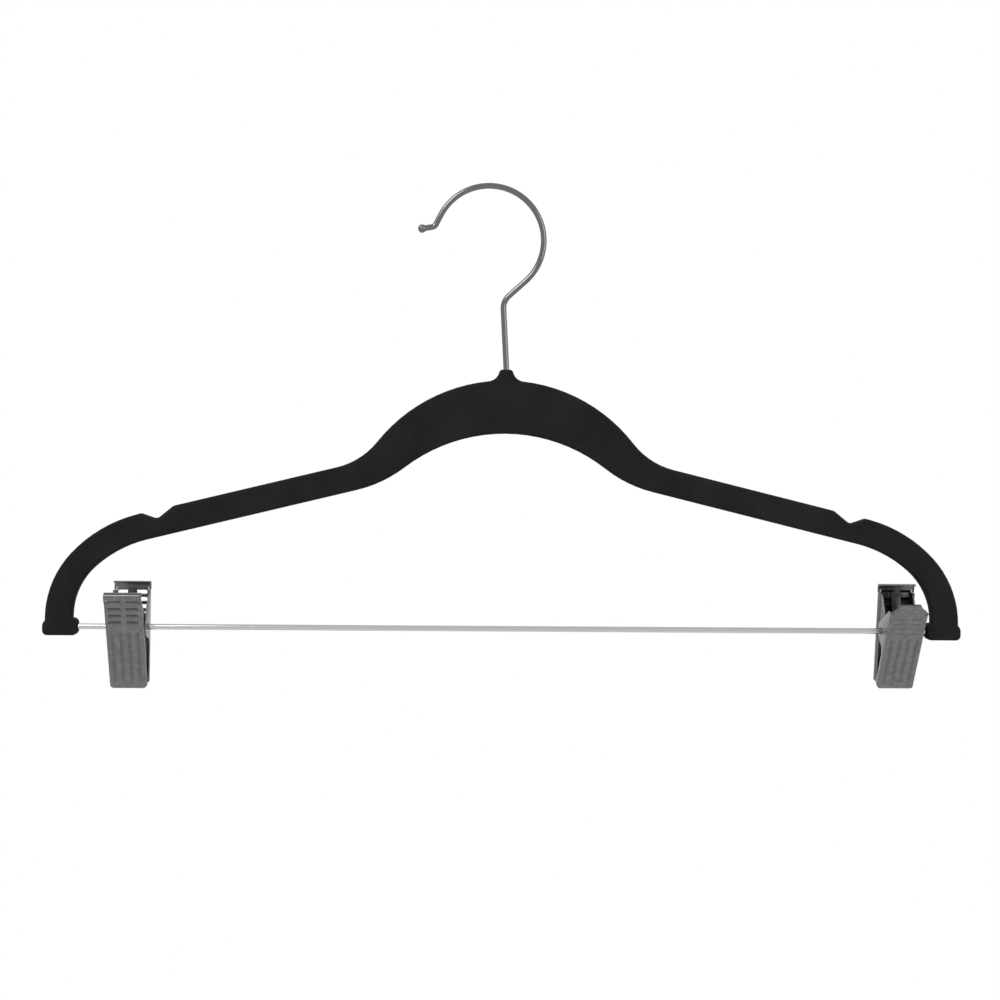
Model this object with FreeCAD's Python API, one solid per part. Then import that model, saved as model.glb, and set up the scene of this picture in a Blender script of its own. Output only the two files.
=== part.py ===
import FreeCAD, Part
import math
import os

# Clothes hanger: a flocked plastic body with a swivelling wire hook, and a wire
# bar that carries two sprung trouser clips.  Millimetres, +Z up, +X to the right
# of somebody facing the hanger.  Heights are worked out from the axis of the bar,
# and every piece is then lowered so that the origin is the point of the hook
# that rests on a rail.

# Body
HALF_SPAN = 225.0          # middle of the hanger to the outside of a foot
BODY_THICK = 6.0
EDGE_ROUND = 1.6           # rounding between the faces and the rim
DOME_TOP = 121.9           # top of the centre dome above the bar
DOME_R = 80.0
CENTRE_DEPTH = 26.2        # height of the body in the middle
UNDER_R = 80.5
ARM_TOP = 98.9             # height at which the arm's top line would cross the middle
ARM_DROP = 55.06           # fall of that line from the middle to the outside of a foot
ARM_DEPTH = 13.15
TOP_SWEEP_R = 36.0         # hollow between dome and arm, above
UNDER_SWEEP_R = 62.0       # the same, below
LEG_STEP = 1.1             # the foot stands out from the leg by this
LEG_WIDTH = 13.4
SHOULDER_R = 65.8          # outer shoulder, upper part
SHOULDER_FALL = 15.25      # slope where the shoulder begins, in degrees
SHOULDER_TURN = 47.3       # slope where the upper arc gives way to the lower
ELBOW_R = 47.2             # outer shoulder, lower part
INNER_SHOULDER_R = 59.3
INNER_TURN = 41.5
INNER_ELBOW_R = 32.7

# Strap notch in each shoulder
NOTCH_LENGTH = 18.4
NOTCH_LOW = 10.4           # lowest corner, measured inwards from the lip's foot
NOTCH_DEPTH = 4.6
LIP_LENGTH = 2.6
NOTCH_ROUNDS = (3.0, 3.5, 2.6)

# Neck
NECK_TOP = 127.2
NECK_HALF = 3.45
NECK_ROUND = 1.7
NECK_FLARE_R = 6.0

# Feet
FOOT_WIDTH = 17.0
FOOT_TOP = 4.1
FOOT_BOTTOM = -4.2
FOOT_THICK = 6.6
FOOT_ROUND = 2.4
FOOT_EDGE = 1.2
FOOT_SHOULDER = 4.0        # rounding of the outer top corner, which runs into the leg

# Bar
BAR_R = 1.4
BAR_HOLD = 10.0            # length of bar held in each foot
MOUTH_R = 2.5              # countersink at the mouth of the bar's hole
MOUTH_DEPTH = 1.0

# Hook
WIRE_R = 1.45
STEM_PLAY = 0.08           # running clearance of the stem in the neck
STEM_STRAIGHT = 1.0        # straight wire above the neck before the lean
STEM_LEAN = 3.2            # degrees
LEAN_R = 20.0
STEM_LENGTH = 27.8         # leaning part above the neck
THROAT_R = 8.0
THROAT_HEADING = 42.0
THROAT_LENGTH = 10.8
CROOK_R = 26.8
CROOK_TURN = 201.0
NOSE_LENGTH = 5.1
NOSE_R = 2.6
NOSE_TURN = 53.5
TIP_LENGTH = 4.9
BALL_R = 2.1
HEAD_R = 2.0               # upset end that keeps the hook in the neck
HEAD_HEIGHT = 1.6
HEAD_PLAY = 0.3
HEAD_BELOW = 12.0          # top of the head below the top of the neck

# Clips
JAW_WIDTH = 18.2
SHEET = 0.8
THUMB = 21.75              # jaw above the bar, along the plate
REACH = 29.5               # jaw below the bar, along the plate
STAND_OFF = 9.65           # outer face of a plate to the axis of the bar
SPREAD = 11.1              # lean of each plate off the clip's middle plane, in degrees
LIP_GAP = 0.3              # between the closed jaws
THUMB_LIP = 3.0
THUMB_BEND = 1.2
JAW_BEND = 1.8
JAW_CHAMFER = 2.0
THUMB_CHAMFER_X = 3.6
THUMB_CHAMFER_Z = 2.6
EAR_R = 5.0
EAR_PLAY = 0.4             # between bar and ear
EAR_GAP = 0.15             # between the ears of the two jaws
JOGGLE_AT = 2.6            # depth at which the inner ears have stepped in
FLANGE_TOP = 4.5           # flange starts this far below the thumb edge
FLANGE_THUMB = 4.5         # depth of the flange at its top
FLANGE_JAW = 3.2           # depth of the flange along the jaw
FLANGE_CORNER = 1.0        # corner off the top of the flange
EAR_FOOT = 1.5             # the ear runs out this far below its round and beyond the flange
FLANGE_FOOT = 4.5          # height below the ear at which the flange is narrow again
MARK_LENGTH = 6.2          # grip marks on the thumb ends, in two columns
MARK_OFFSET = 4.15         # centre of a column from the middle
MARK_ROWS = 4
MARK_PITCH = 3.57
MARK_HEIGHT = 1.9
WINDOW_FROM_TOP = 5.4      # centre of the first row of windows below the thumb edge
DASH_FROM_TOP = 4.2        # the same for pressed dashes
DASH_DEPTH = 0.35
RIB_FROM_TOP = 7.1         # the same for the finer ribs
RIB_PITCH = 2.95
RIB_HEIGHT = 0.95
RIB_DEPTH = 0.15
GROOVE_TOP = 2.4
GROOVE_LENGTH = 27.5
GROOVE_WIDTH = 1.6
GROOVE_DEPTH = 0.25
GROOVE_PITCH = 4.1
GROOVES = 4

# Springs
STRIP = 0.5
STRIP_WIDTH = 4.6
STRIP_PLAY = 0.3           # between spring and bar
STRIP_TOP = 16.5           # height of the spring's ends, in the closed clip
STRIP_PAD = 4.0            # part of the spring that lies along the plate
STRIP_GAP = 0.1            # between spring and plate
STRIP_ROUND = 2.0

# Where the clips stand
LEFT_CLIP_INSET = 41.5     # outside of the left foot to the middle of the clip
LEFT_CLIP_SWING = 9.3      # degrees, top towards the front
RIGHT_CLIP_INSET = 29.8    # outside of the right foot to the middle of the clip
RIGHT_CLIP_SWING = 20.1    # degrees, top towards the front

ARM_FALL = math.degrees(math.atan2(ARM_DROP, HALF_SPAN))

OVERCUT = 1.0              # how far a cutting tool starts outside the piece

X_AXIS = FreeCAD.Vector(1, 0, 0)
Y_AXIS = FreeCAD.Vector(0, 1, 0)
Z_AXIS = FreeCAD.Vector(0, 0, 1)
ORIGIN = FreeCAD.Vector(0, 0, 0)


def unit(degrees):
    """Direction in the XZ plane, from +X towards +Z."""
    return FreeCAD.Vector(math.cos(math.radians(degrees)), 0, math.sin(math.radians(degrees)))


def at(x, z):
    return FreeCAD.Vector(x, 0, z)


def line(start, end):
    return Part.LineSegment(start, end).toShape()


def arc(centre, radius, start, end):
    """Arc in the XZ plane between two angles in degrees."""
    points = [centre + unit(a) * radius for a in (start, (start + end) / 2, end)]
    return Part.Arc(*points).toShape()


def angle_of(vector):
    return math.degrees(math.atan2(vector.z, vector.x))


def meet(centre_a, radius_a, centre_b, radius_b):
    """The right-hand point that lies radius_a from centre_a and radius_b from centre_b."""
    between = centre_b - centre_a
    apart = between.Length
    along = (apart ** 2 + radius_a ** 2 - radius_b ** 2) / (2 * apart)
    across = math.sqrt(radius_a ** 2 - along ** 2)
    ahead = between / apart
    side = FreeCAD.Vector(ahead.z, 0, -ahead.x)
    first = centre_a + ahead * along + side * across
    second = centre_a + ahead * along - side * across
    return first if first.x > second.x else second


def rounded_path(points, radii):
    """Edges through the points, with each inner corner rounded to its radius."""
    edges = []
    last = points[0]
    for before, corner, after, radius in zip(points, points[1:], points[2:], radii):
        back = (before - corner).normalize()
        ahead = (after - corner).normalize()
        half = back.getAngle(ahead) / 2
        reach = radius / math.tan(half)
        start = corner + back * reach
        end = corner + ahead * reach
        bisector = (back + ahead).normalize()
        middle = corner + bisector * (radius / math.sin(half) - radius)
        edges.append(line(last, start))
        edges.append(Part.Arc(start, middle, end).toShape())
        last = end
    edges.append(line(last, points[-1]))
    return edges


# The body's outline is worked out for the right half and mirrored.

def arm_line_height(x, crossing):
    return crossing - x * math.tan(math.radians(ARM_FALL))


def sweep_centre(dome_centre, dome_radius, sweep_radius, crossing):
    """Centre of the hollow arc that touches a dome arc and an arm line."""
    slope = math.tan(math.radians(ARM_FALL))
    raised = crossing + sweep_radius / math.cos(math.radians(ARM_FALL)) - dome_centre.z
    reach = dome_radius + sweep_radius
    a = 1 + slope ** 2
    b = -2 * slope * raised
    c = raised ** 2 - reach ** 2
    x = (-b + math.sqrt(b * b - 4 * a * c)) / (2 * a)
    return at(x, dome_centre.z + raised - slope * x)


def neck_edges(dome_centre):
    """Top of the neck and the flare into the dome; also the angle at which the dome starts."""
    corner = at(NECK_HALF - NECK_ROUND, NECK_TOP - NECK_ROUND)
    flare = meet(corner, NECK_ROUND + NECK_FLARE_R, dome_centre, DOME_R + NECK_FLARE_R)
    tangent = angle_of(flare - corner)
    dome_start = angle_of(flare - dome_centre)
    edges = [
        line(at(0, NECK_TOP), at(corner.x, NECK_TOP)),
        arc(corner, NECK_ROUND, 90, tangent),
        arc(flare, NECK_FLARE_R, 180 + tangent, 180 + dome_start),
    ]
    return edges, dome_start


def shoulder_edges(leg_outside):
    """Outer shoulder from the foot of the notch's lip to the leg."""
    fall = math.radians(ARM_FALL)
    normal = FreeCAD.Vector(math.sin(fall), 0, math.cos(fall))
    turn = unit(90 - SHOULDER_TURN)
    begin = unit(90 - SHOULDER_FALL)
    offset = turn * (ELBOW_R - SHOULDER_R) + begin * SHOULDER_R
    elbow_x = leg_outside - ELBOW_R
    level = normal.dot(at(0, ARM_TOP))
    elbow_z = (level - normal.dot(offset) - normal.x * elbow_x) / normal.z
    elbow = at(elbow_x, elbow_z)
    shoulder = elbow + turn * (ELBOW_R - SHOULDER_R)
    edges = [
        arc(shoulder, SHOULDER_R, 90 - SHOULDER_FALL, 90 - SHOULDER_TURN),
        arc(elbow, ELBOW_R, 90 - SHOULDER_TURN, 0),
    ]
    return edges, elbow + offset, at(leg_outside, elbow_z)


def inner_shoulder_edges(leg_inside, under_crossing):
    """Inside of the shoulder from the leg to the underside of the arm."""
    fall = math.radians(ARM_FALL)
    normal = FreeCAD.Vector(math.sin(fall), 0, math.cos(fall))
    turn = unit(90 - INNER_TURN)
    shift = turn * (INNER_ELBOW_R - INNER_SHOULDER_R)
    elbow_x = leg_inside - INNER_ELBOW_R
    level = normal.dot(at(0, under_crossing)) - INNER_SHOULDER_R
    elbow_z = (level - normal.dot(shift) - normal.x * elbow_x) / normal.z
    elbow = at(elbow_x, elbow_z)
    shoulder = elbow + shift
    edges = [
        arc(elbow, INNER_ELBOW_R, 0, 90 - INNER_TURN),
        arc(shoulder, INNER_SHOULDER_R, 90 - INNER_TURN, 90 - ARM_FALL),
    ]
    return edges, at(leg_inside, elbow_z), shoulder + unit(90 - ARM_FALL) * INNER_SHOULDER_R


def notch_edges(arm_start, lip_foot):
    """Top of the arm, the strap notch and its lip."""
    inner = arm_line_height(lip_foot.x - NOTCH_LENGTH, ARM_TOP)
    low = arm_line_height(lip_foot.x - NOTCH_LOW, ARM_TOP) - NOTCH_DEPTH
    points = [
        arm_start,
        at(lip_foot.x - NOTCH_LENGTH, inner),
        at(lip_foot.x - NOTCH_LOW, low),
        lip_foot + unit(180 - SHOULDER_FALL) * LIP_LENGTH,
        lip_foot,
    ]
    return rounded_path(points, NOTCH_ROUNDS)


def half_outline():
    """Edges of the right half, from the top of the neck round to the middle of the underside."""
    dome_centre = at(0, DOME_TOP - DOME_R)
    under_centre = at(0, DOME_TOP - CENTRE_DEPTH - UNDER_R)
    under_crossing = ARM_TOP - ARM_DEPTH / math.cos(math.radians(ARM_FALL))
    leg_outside = HALF_SPAN - LEG_STEP
    leg_inside = leg_outside - LEG_WIDTH
    arm_normal = unit(90 - ARM_FALL)

    neck, dome_start = neck_edges(dome_centre)
    sweep = sweep_centre(dome_centre, DOME_R, TOP_SWEEP_R, ARM_TOP)
    dome_end = angle_of(sweep - dome_centre)
    arm_start = sweep - arm_normal * TOP_SWEEP_R
    shoulder, lip_foot, leg_top = shoulder_edges(leg_outside)
    inner, leg_inner_top, under_end = inner_shoulder_edges(leg_inside, under_crossing)
    under_sweep = sweep_centre(under_centre, UNDER_R, UNDER_SWEEP_R, under_crossing)
    under_dome = angle_of(under_sweep - under_centre)
    under_start = under_sweep - arm_normal * UNDER_SWEEP_R

    edges = list(neck)
    edges.append(arc(dome_centre, DOME_R, dome_start, dome_end))
    edges.append(arc(sweep, TOP_SWEEP_R, 180 + dome_end, 270 - ARM_FALL))
    edges += notch_edges(arm_start, lip_foot)
    edges += shoulder
    edges.append(line(leg_top, at(leg_outside, 0)))
    edges.append(line(at(leg_outside, 0), at(leg_inside, 0)))
    edges.append(line(at(leg_inside, 0), leg_inner_top))
    edges += inner
    edges.append(line(under_end, under_start))
    edges.append(arc(under_sweep, UNDER_SWEEP_R, 270 - ARM_FALL, 180 + under_dome))
    edges.append(arc(under_centre, UNDER_R, under_dome, 90))
    return edges


def foot_block(side):
    """Thickened end of a leg, which holds the bar."""
    outer = HALF_SPAN
    inner = HALF_SPAN - FOOT_WIDTH
    block = Part.makeBox(
        FOOT_WIDTH, FOOT_THICK, FOOT_TOP - FOOT_BOTTOM,
        FreeCAD.Vector(inner, -FOOT_THICK / 2, FOOT_BOTTOM),
    )
    top_outside = at(outer, FOOT_TOP)
    across = [e for e in block.Edges if abs(e.Vertexes[0].Y - e.Vertexes[1].Y) > FOOT_THICK / 2]
    corners = [e for e in across if e.CenterOfMass.distanceToPoint(top_outside) > FOOT_ROUND]
    block = block.makeFillet(FOOT_ROUND, corners)
    shoulder = [e for e in block.Edges if e.CenterOfMass.distanceToPoint(top_outside) < 0.01]
    block = block.makeFillet(FOOT_SHOULDER, shoulder)
    faces = [
        e for e in block.Edges
        if abs(abs(e.CenterOfMass.y) - FOOT_THICK / 2) < 0.01
    ]
    block = block.makeFillet(FOOT_EDGE, faces)
    if side < 0:
        block = block.mirror(ORIGIN, X_AXIS)
    return block


def bar_hole(side):
    """Blind hole for the bar with a countersunk mouth."""
    mouth = HALF_SPAN - FOOT_WIDTH
    hole = Part.makeCylinder(BAR_R, BAR_HOLD, FreeCAD.Vector(mouth, 0, 0), X_AXIS)
    cone = Part.makeCone(MOUTH_R, BAR_R, MOUTH_DEPTH, FreeCAD.Vector(mouth, 0, 0), X_AXIS)
    hole = hole.fuse(cone)
    if side < 0:
        hole = hole.mirror(ORIGIN, X_AXIS)
    return hole


def stem_hole():
    """Bore in the neck and the pocket in which the hook's head turns."""
    head_top = NECK_TOP - HEAD_BELOW
    bore = Part.makeCylinder(
        WIRE_R + STEM_PLAY, HEAD_BELOW + OVERCUT, at(0, head_top), Z_AXIS
    )
    pocket = Part.makeCylinder(
        HEAD_R + HEAD_PLAY, HEAD_HEIGHT + 2 * HEAD_PLAY,
        at(0, head_top - HEAD_HEIGHT - HEAD_PLAY), Z_AXIS,
    )
    return bore.fuse(pocket)


def hanger_body():
    half = half_outline()
    other = [edge.mirror(ORIGIN, X_AXIS) for edge in half]
    outline = Part.Wire(Part.__sortEdges__(half + other))
    face = Part.Face(outline)
    face.translate(Y_AXIS * (-BODY_THICK / 2))
    slab = face.extrude(Y_AXIS * BODY_THICK)
    rim = [
        e for e in slab.Edges
        if abs(abs(e.CenterOfMass.y) - BODY_THICK / 2) < 0.01
        and abs(e.CenterOfMass.z) > 0.01
    ]
    body = slab.makeFillet(EDGE_ROUND, rim)
    body = body.fuse([foot_block(-1), foot_block(1)])
    body = body.cut(Part.makeCompound([bar_hole(-1), bar_hole(1), stem_hole()]))
    return body.removeSplitter()


def trouser_bar():
    end = HALF_SPAN - FOOT_WIDTH + BAR_HOLD
    return Part.makeCylinder(BAR_R, 2 * end, FreeCAD.Vector(-end, 0, 0), X_AXIS)


def hook_path():
    """Centre line of the hook's wire, followed upwards from the head; also the crook's centre."""
    place = at(0, NECK_TOP - HEAD_BELOW)
    heading = 90.0
    crook_centre = None
    edges = []
    steps = [
        (HEAD_BELOW + STEM_STRAIGHT, 0, 0),
        (0, LEAN_R, STEM_LEAN),
        (STEM_LENGTH, 0, 0),
        (0, THROAT_R, THROAT_HEADING - 90 - STEM_LEAN),
        (THROAT_LENGTH, 0, 0),
        (0, CROOK_R, CROOK_TURN),
        (NOSE_LENGTH, 0, 0),
        (0, NOSE_R, -NOSE_TURN),
        (TIP_LENGTH, 0, 0),
    ]
    for length, radius, turn in steps:
        if length:
            end = place + unit(heading) * length
            edges.append(line(place, end))
        else:
            left = 90 if turn > 0 else -90
            centre = place + unit(heading + left) * radius
            edges.append(arc(centre, radius, heading - left, heading - left + turn))
            end = centre + unit(heading - left + turn) * radius
            heading += turn
            if radius == CROOK_R:
                crook_centre = centre
        place = end
    return edges, place, crook_centre


def hook():
    edges, tip, crook_centre = hook_path()
    start = at(0, NECK_TOP - HEAD_BELOW)
    section = Part.Wire(Part.makeCircle(WIRE_R, start, Z_AXIS))
    wire = Part.Wire(edges).makePipeShell([section], True, False)
    ball = Part.makeSphere(BALL_R, tip)
    head = Part.makeCylinder(HEAD_R, HEAD_HEIGHT, start - Z_AXIS * HEAD_HEIGHT, Z_AXIS)
    return wire.fuse([ball, head]).removeSplitter()


def seat_height():
    """Height above the bar of the point of the crook that a rail touches, over the middle."""
    edges, tip, centre = hook_path()
    inside = CROOK_R - WIRE_R
    return centre.z + math.sqrt(inside ** 2 - centre.x ** 2)


# A jaw is worked out with its plate upright in front of the bar, then leant.

def prism_x(points, half_width):
    """Solid with the given outline in the YZ plane, standing half_width each side of the middle."""
    loop = [FreeCAD.Vector(-half_width, y, z) for y, z in points]
    face = Part.Face(Part.makePolygon(loop + loop[:1]))
    return face.extrude(X_AXIS * (2 * half_width))


def plate_section():
    """Side view of the bent sheet without its flanges: thumb lip, plate and jaw lip."""
    top = THUMB
    low = -REACH
    face = -STAND_OFF
    outer = rounded_path(
        [
            FreeCAD.Vector(face + THUMB_LIP, 0, top),
            FreeCAD.Vector(face, 0, top),
            FreeCAD.Vector(face, 0, low),
            FreeCAD.Vector(0, 0, low),
        ],
        (THUMB_BEND, JAW_BEND),
    )
    inner = rounded_path(
        [
            FreeCAD.Vector(0, 0, low + SHEET),
            FreeCAD.Vector(face + SHEET, 0, low + SHEET),
            FreeCAD.Vector(face + SHEET, 0, top - SHEET),
            FreeCAD.Vector(face + THUMB_LIP, 0, top - SHEET),
        ],
        (JAW_BEND - SHEET, THUMB_BEND - SHEET),
    )
    ends = [
        line(FreeCAD.Vector(0, 0, low), FreeCAD.Vector(0, 0, low + SHEET)),
        line(
            FreeCAD.Vector(face + THUMB_LIP, 0, top - SHEET),
            FreeCAD.Vector(face + THUMB_LIP, 0, top),
        ),
    ]
    wire = Part.Wire(Part.__sortEdges__(outer + inner + ends))
    section = Part.Face(wire)
    section.rotate(ORIGIN, Z_AXIS, 90)
    return section


def channel(inner_ears):
    """Upright U of sheet whose walls become the ears, stepped in for the inner ears."""
    edge = JAW_WIDTH / 2
    face = -STAND_OFF
    far = 2 * EAR_R
    step = SHEET + EAR_GAP if inner_ears else 0.0
    right = [
        (edge, face),
        (edge, face + JOGGLE_AT),
        (edge - step, face + JOGGLE_AT + step),
        (edge - step, far),
        (edge - step - SHEET, far),
        (edge - step - SHEET, face + JOGGLE_AT + step),
        (edge - SHEET, face + JOGGLE_AT),
        (edge - SHEET, face + SHEET),
    ]
    left = [(-x, y) for x, y in reversed(right)]
    loop = [FreeCAD.Vector(x, y, -REACH) for x, y in right + left]
    outline = Part.Face(Part.makePolygon(loop + loop[:1]))
    return outline.extrude(Z_AXIS * (REACH + THUMB))


def ear_profile():
    """Side view of a flange: narrow by the thumb, an ear round the bar, narrow by the jaw."""
    face = -STAND_OFF
    top = THUMB - FLANGE_TOP
    thumb_corner = (face + FLANGE_THUMB, top - FLANGE_CORNER)
    distance = math.hypot(*thumb_corner)
    towards = math.degrees(math.atan2(thumb_corner[1], thumb_corner[0]))
    touch = math.radians(towards - math.degrees(math.acos(EAR_R / distance)))
    touching = (EAR_R * math.cos(touch), EAR_R * math.sin(touch))
    jaw_edge = face + FLANGE_JAW
    upper = prism_x(
        [
            (face, top),
            (thumb_corner[0] - FLANGE_CORNER, top),
            thumb_corner,
            touching,
            (0, 0),
            (0, -EAR_R),
            (jaw_edge + EAR_FOOT, -EAR_R - EAR_FOOT),
            (jaw_edge, -EAR_R - FLANGE_FOOT),
            (jaw_edge, -REACH + JAW_BEND),
            (face, -REACH + JAW_BEND),
        ],
        JAW_WIDTH,
    )
    ear = Part.makeCylinder(EAR_R, 2 * JAW_WIDTH, FreeCAD.Vector(-JAW_WIDTH, 0, 0), X_AXIS)
    return upper.fuse(ear)


def corner_cutter(width, height, top):
    """Pair of wedges that take the corners off the end of a plate."""
    z = THUMB if top else -REACH
    inward = -height if top else height
    edge = JAW_WIDTH / 2
    wedges = []
    for side in (-1, 1):
        points = [
            FreeCAD.Vector(side * (edge - width), -2 * STAND_OFF, z),
            FreeCAD.Vector(side * (edge + OVERCUT), -2 * STAND_OFF, z),
            FreeCAD.Vector(side * (edge + OVERCUT), -2 * STAND_OFF, z + inward),
            FreeCAD.Vector(side * edge, -2 * STAND_OFF, z + inward),
        ]
        outline = Part.Face(Part.makePolygon(points + points[:1]))
        wedges.append(outline.extrude(Y_AXIS * 3 * STAND_OFF))
    return wedges


def grip_marks(from_top, pitch, height, depth):
    """Two columns of marks cut to a depth into the outside of a plate's thumb end."""
    marks = []
    for row in range(MARK_ROWS):
        z = THUMB - from_top - pitch * row
        for side in (-1, 1):
            corner = FreeCAD.Vector(
                side * MARK_OFFSET - MARK_LENGTH / 2, -STAND_OFF - OVERCUT, z - height / 2
            )
            marks.append(Part.makeBox(MARK_LENGTH, OVERCUT + depth, height, corner))
    return marks


def windows():
    """Marks that go right through the sheet."""
    return grip_marks(WINDOW_FROM_TOP, MARK_PITCH, MARK_HEIGHT, SHEET + OVERCUT)


def dashes():
    return grip_marks(DASH_FROM_TOP, MARK_PITCH, MARK_HEIGHT, DASH_DEPTH)


def ribs():
    return grip_marks(RIB_FROM_TOP, RIB_PITCH, RIB_HEIGHT, RIB_DEPTH)


def jaw_grooves():
    """Shallow pressed grooves down the jaw end of a plate."""
    grooves = []
    for index in range(GROOVES):
        x = (index - (GROOVES - 1) / 2) * GROOVE_PITCH
        corner = FreeCAD.Vector(
            x - GROOVE_WIDTH / 2, -STAND_OFF - OVERCUT, GROOVE_TOP - GROOVE_LENGTH
        )
        grooves.append(Part.makeBox(GROOVE_WIDTH, OVERCUT + GROOVE_DEPTH, GROOVE_LENGTH, corner))
    return grooves


def jaw(inner_ears, chamfered, marks):
    """One jaw standing in front of the bar, leant as in the closed clip."""
    section = plate_section()
    section.translate(X_AXIS * (-JAW_WIDTH / 2))
    plate = section.extrude(X_AXIS * JAW_WIDTH)
    walls = channel(inner_ears).common(ear_profile())
    piece = plate.fuse(walls)
    cutters = corner_cutter(JAW_CHAMFER, JAW_CHAMFER, False) + jaw_grooves()
    if chamfered:
        cutters += corner_cutter(THUMB_CHAMFER_X, THUMB_CHAMFER_Z, True)
    cutters += marks
    cutters.append(
        Part.makeCylinder(
            BAR_R + EAR_PLAY, 2 * JAW_WIDTH, FreeCAD.Vector(-JAW_WIDTH, 0, 0), X_AXIS
        )
    )
    piece = piece.cut(Part.makeCompound(cutters))
    piece.rotate(ORIGIN, X_AXIS, SPREAD)
    beyond = Part.makeBox(
        2 * JAW_WIDTH, 2 * STAND_OFF, REACH,
        FreeCAD.Vector(-JAW_WIDTH, -LIP_GAP / 2, -REACH - EAR_R - 2 * JAW_BEND - SHEET),
    )
    return piece.cut(beyond).removeSplitter()


def leaf_spring():
    """Strip bent round the bar, with an arm up each side that pushes a thumb end out."""
    inside = BAR_R + STRIP_PLAY
    outside = inside + STRIP
    spread = math.radians(SPREAD)
    plate_inside = STAND_OFF - SHEET - STRIP_GAP
    tip_z = STRIP_TOP
    tip_y = (plate_inside + tip_z * math.sin(spread)) / math.cos(spread)
    knee_y = tip_y - STRIP_PAD * math.sin(spread)
    knee_z = tip_z - STRIP_PAD * math.cos(spread)
    distance = math.hypot(knee_y, knee_z)
    lean = math.atan2(knee_y, knee_z) - math.asin(outside / distance)
    touch = (outside * math.cos(lean), -outside * math.sin(lean))
    back = (inside * math.cos(lean), -inside * math.sin(lean))
    inner_knee = (
        knee_y - STRIP * math.cos((lean + spread) / 2) / math.cos((lean - spread) / 2),
        knee_z + STRIP * math.sin((lean + spread) / 2) / math.cos((lean - spread) / 2),
    )
    inner_tip = (tip_y - STRIP * math.cos(spread), tip_z + STRIP * math.sin(spread))

    def side(points, sign):
        return [FreeCAD.Vector(0, sign * y, z) for y, z in points]

    right_outer = side([touch, (knee_y, knee_z), (tip_y, tip_z)], 1)
    right_inner = side([inner_tip, inner_knee, back], 1)
    left_inner = side([back, inner_knee, inner_tip], -1)
    left_outer = side([(tip_y, tip_z), (knee_y, knee_z), touch], -1)
    bottom_inner = FreeCAD.Vector(0, 0, -inside)
    bottom_outer = FreeCAD.Vector(0, 0, -outside)
    edges = [line(a, b) for a, b in zip(right_outer, right_outer[1:])]
    edges.append(line(right_outer[-1], right_inner[0]))
    edges += [line(a, b) for a, b in zip(right_inner, right_inner[1:])]
    edges.append(Part.Arc(right_inner[-1], bottom_inner, left_inner[0]).toShape())
    edges += [line(a, b) for a, b in zip(left_inner, left_inner[1:])]
    edges.append(line(left_inner[-1], left_outer[0]))
    edges += [line(a, b) for a, b in zip(left_outer, left_outer[1:])]
    edges.append(Part.Arc(left_outer[-1], bottom_outer, right_outer[0]).toShape())
    section = Part.Face(Part.Wire(edges))
    section.translate(X_AXIS * (-STRIP_WIDTH / 2))
    strip = section.extrude(X_AXIS * STRIP_WIDTH)
    corners = [
        e for e in strip.Edges
        if e.Length < STRIP * 1.2 and e.CenterOfMass.z > tip_z - STRIP
        and abs(abs(e.CenterOfMass.x) - STRIP_WIDTH / 2) < 0.01
    ]
    return strip.makeFillet(STRIP_ROUND, corners)


def turned_round(shape):
    """The same piece behind the bar."""
    turned = shape.copy()
    turned.rotate(ORIGIN, Z_AXIS, 180)
    return turned


def placed(shape, swing, x):
    """A clip piece swung about the bar and moved along it."""
    moved = shape.copy()
    moved.rotate(ORIGIN, X_AXIS, swing)
    moved.translate(X_AXIS * x)
    return moved


def clip(name, x, swing, front, rear):
    return {
        name + "_front_jaw": placed(front, swing, x),
        name + "_rear_jaw": placed(turned_round(rear), swing, x),
        name + "_spring": placed(leaf_spring(), swing, x),
    }


nodes = {
    "hanger_body": hanger_body(),
    "hook": hook(),
    "trouser_bar": trouser_bar(),
}
nodes.update(
    clip(
        "left", LEFT_CLIP_INSET - HALF_SPAN, LEFT_CLIP_SWING,
        jaw(True, False, dashes()), jaw(False, False, windows()),
    )
)
nodes.update(
    clip(
        "right", HALF_SPAN - RIGHT_CLIP_INSET, RIGHT_CLIP_SWING,
        jaw(False, True, ribs()), jaw(True, False, dashes()),
    )
)

os.makedirs("parts", exist_ok=True)
drop = Z_AXIS * (-seat_height())
for name, shape in nodes.items():
    shape.translate(drop)
    solids = shape.Solids
    print(name, "solids", len(solids), "valid", shape.isValid(), "volume", round(shape.Volume, 1))
    solids[0].exportStep("parts/" + name + ".step")
print("seat height above the bar", round(seat_height(), 3))
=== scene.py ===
import math

import bmesh
import bpy
from mathutils import Matrix, Vector


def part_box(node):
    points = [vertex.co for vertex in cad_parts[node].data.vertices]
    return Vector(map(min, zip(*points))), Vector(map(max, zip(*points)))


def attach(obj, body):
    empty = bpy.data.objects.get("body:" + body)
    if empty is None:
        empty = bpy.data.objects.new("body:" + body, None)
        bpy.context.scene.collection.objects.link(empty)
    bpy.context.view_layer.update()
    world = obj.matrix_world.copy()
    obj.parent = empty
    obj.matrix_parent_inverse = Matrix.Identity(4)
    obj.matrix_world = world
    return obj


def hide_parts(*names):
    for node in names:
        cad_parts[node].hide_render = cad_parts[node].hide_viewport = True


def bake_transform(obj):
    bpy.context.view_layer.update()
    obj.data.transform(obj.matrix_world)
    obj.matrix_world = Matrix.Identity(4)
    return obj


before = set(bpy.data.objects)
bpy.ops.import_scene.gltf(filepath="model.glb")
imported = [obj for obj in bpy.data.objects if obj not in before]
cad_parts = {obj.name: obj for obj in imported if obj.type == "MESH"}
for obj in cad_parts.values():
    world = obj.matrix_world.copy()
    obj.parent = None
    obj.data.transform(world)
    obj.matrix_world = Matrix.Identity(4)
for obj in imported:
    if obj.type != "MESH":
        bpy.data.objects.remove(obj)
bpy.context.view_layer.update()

MM = 0.001


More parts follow.
